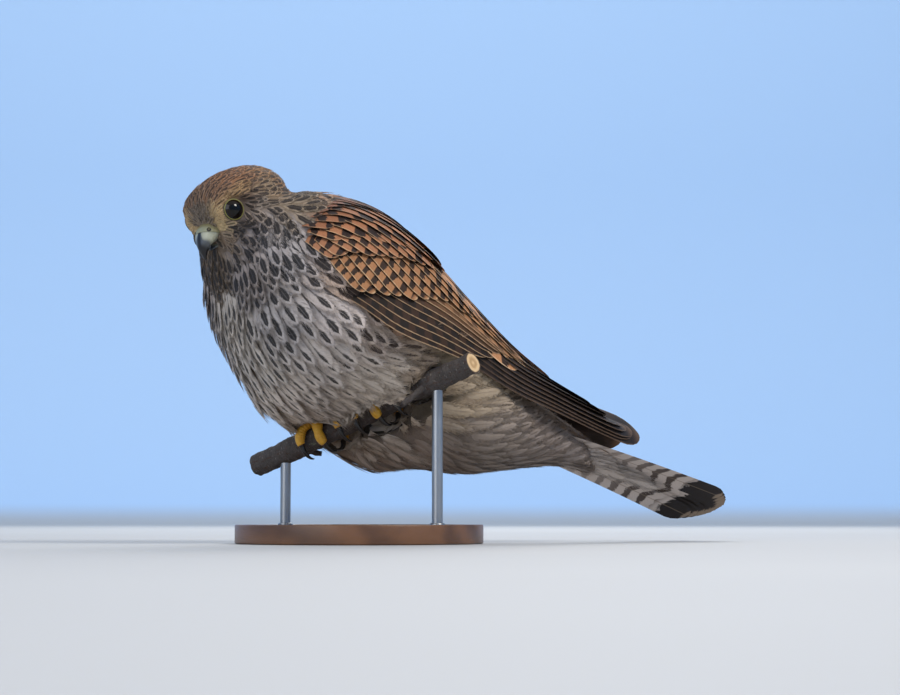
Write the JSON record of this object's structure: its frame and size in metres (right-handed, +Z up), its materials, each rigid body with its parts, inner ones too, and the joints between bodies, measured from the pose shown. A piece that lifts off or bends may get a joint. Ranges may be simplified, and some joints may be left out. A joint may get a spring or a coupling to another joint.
{
  "type": "perched falcon model",
  "caption": "Life-size still model of a perched common kestrel, a small falcon, on a cut length of branch held by a plain display stand.",
  "frame": {"origin": "centre of the stand base's underside", "axes": "+Z up, -Y the way the bird's body faces, +X its left side"},
  "size_m": [0.1253, 0.3101, 0.1796],
  "materials": {
    "crown": "soft feathers, rufous brown with dark streaks",
    "breast": "soft feathers, greyish cream with dark drops",
    "wing": "smooth feathers, rufous with blackish bars",
    "tail": "smooth feathers, greyish buff with dark bars",
    "eye": "wet, near black",
    "cere": "waxy skin, greenish yellow",
    "bill": "polished horn, blue grey to black at the tip",
    "foot": "scaled skin, orange yellow",
    "claw": "polished horn, black",
    "bark": "rough dark grey-brown bark",
    "base": "satin, stained",
    "rod": "brushed"
  },
  "bodies": {
    "root": {"head": "crown", "neck": "crown", "torso": "breast", "eye_left": "eye", "eye_right": "eye", "cere": "cere", "bill_upper": "bill", "bill_lower": "bill", "tail": "tail", "wing_left": "wing", "wing_right": "wing", "thigh_left": "breast", "foot_left": "foot", "claw_left_1": "claw", "claw_left_2": "claw", "claw_left_3": "claw", "claw_left_4": "claw", "thigh_right": "breast", "foot_right": "foot", "claw_right_1": "claw", "claw_right_2": "claw", "claw_right_3": "claw", "claw_right_4": "claw", "perch": "bark", "stand_base": "base", "stand_rod_1": "rod", "stand_rod_2": "rod"}
  },
  "joints": []
}
